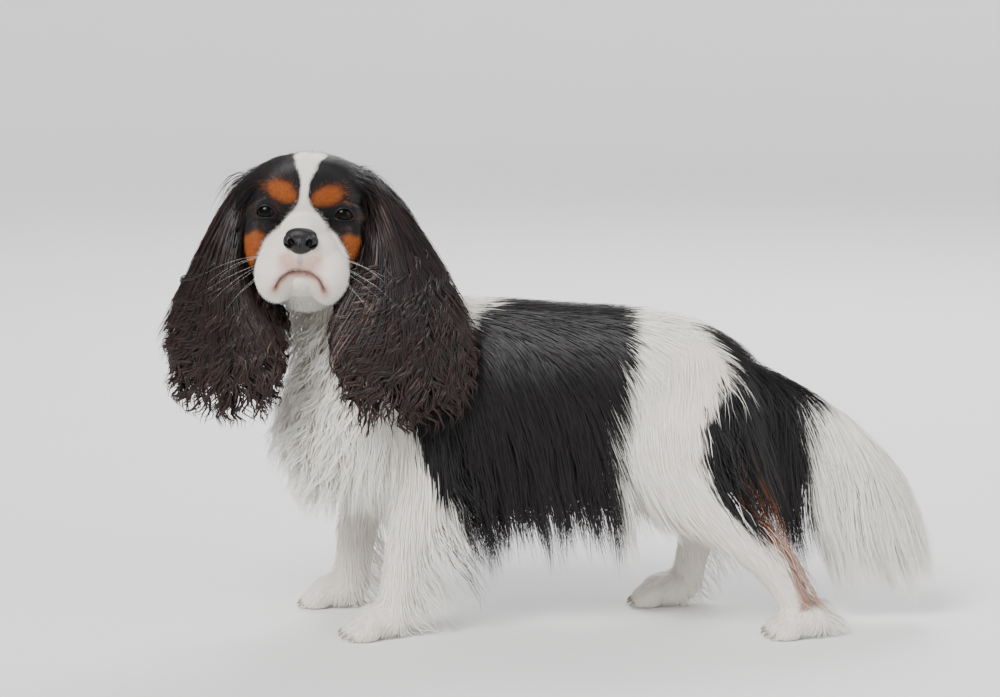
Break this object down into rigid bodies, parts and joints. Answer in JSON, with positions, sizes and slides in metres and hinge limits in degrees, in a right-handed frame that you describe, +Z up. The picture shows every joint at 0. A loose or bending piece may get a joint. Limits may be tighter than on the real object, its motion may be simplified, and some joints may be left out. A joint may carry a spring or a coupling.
{
  "type": "cavalier king charles spaniel",
  "caption": "Still life-size small spaniel, standing side-on with its head turned, with long hanging ears, feathered legs and belly and a plumed tail.",
  "frame": {"origin": "middle of the floor of the whole dog's box, on the ground between its legs", "axes": "-X is the way the body faces, -Y is the way the turned head faces and the dog's left, +Z is up"},
  "size_m": [0.7508, 0.2368, 0.4574],
  "materials": {
    "ear_left": "long silky hair, near black with brown ends, wavy below",
    "ear_right": "long silky hair, near black with brown ends, wavy below",
    "eye_left": "dark brown eye with a clear wet surface",
    "eye_right": "dark brown eye with a clear wet surface",
    "fore_leg_left": "short white coat with longer feathering",
    "fore_leg_right": "short white coat with longer feathering",
    "fore_paw_left": "short white coat with longer feathering",
    "fore_paw_right": "short white coat with longer feathering",
    "head": "short coat, black with a white blaze and muzzle and tan brows and cheeks",
    "hind_foot_left": "short white coat with longer feathering",
    "hind_foot_right": "short white coat with longer feathering",
    "hind_leg_left": "short white coat with longer feathering",
    "hind_leg_right": "short white coat with longer feathering",
    "neck": "short white coat with longer feathering",
    "nose": "black, pebbled, damp sheen",
    "tail": "long plume, black at the root and white below",
    "torso_front": "silky coat, white chest and a black saddle",
    "torso_rear": "silky coat, black with a white band and black haunches"
  },
  "bodies": {
    "root": {"ear_left": "ear_left", "ear_right": "ear_right", "eye_left": "eye_left", "eye_right": "eye_right", "fore_leg_left": "fore_leg_left", "fore_leg_right": "fore_leg_right", "fore_paw_left": "fore_paw_left", "fore_paw_right": "fore_paw_right", "head": "head", "hind_foot_left": "hind_foot_left", "hind_foot_right": "hind_foot_right", "hind_leg_left": "hind_leg_left", "hind_leg_right": "hind_leg_right", "neck": "neck", "nose": "nose", "tail": "tail", "torso_front": "torso_front", "torso_rear": "torso_rear"}
  },
  "joints": []
}
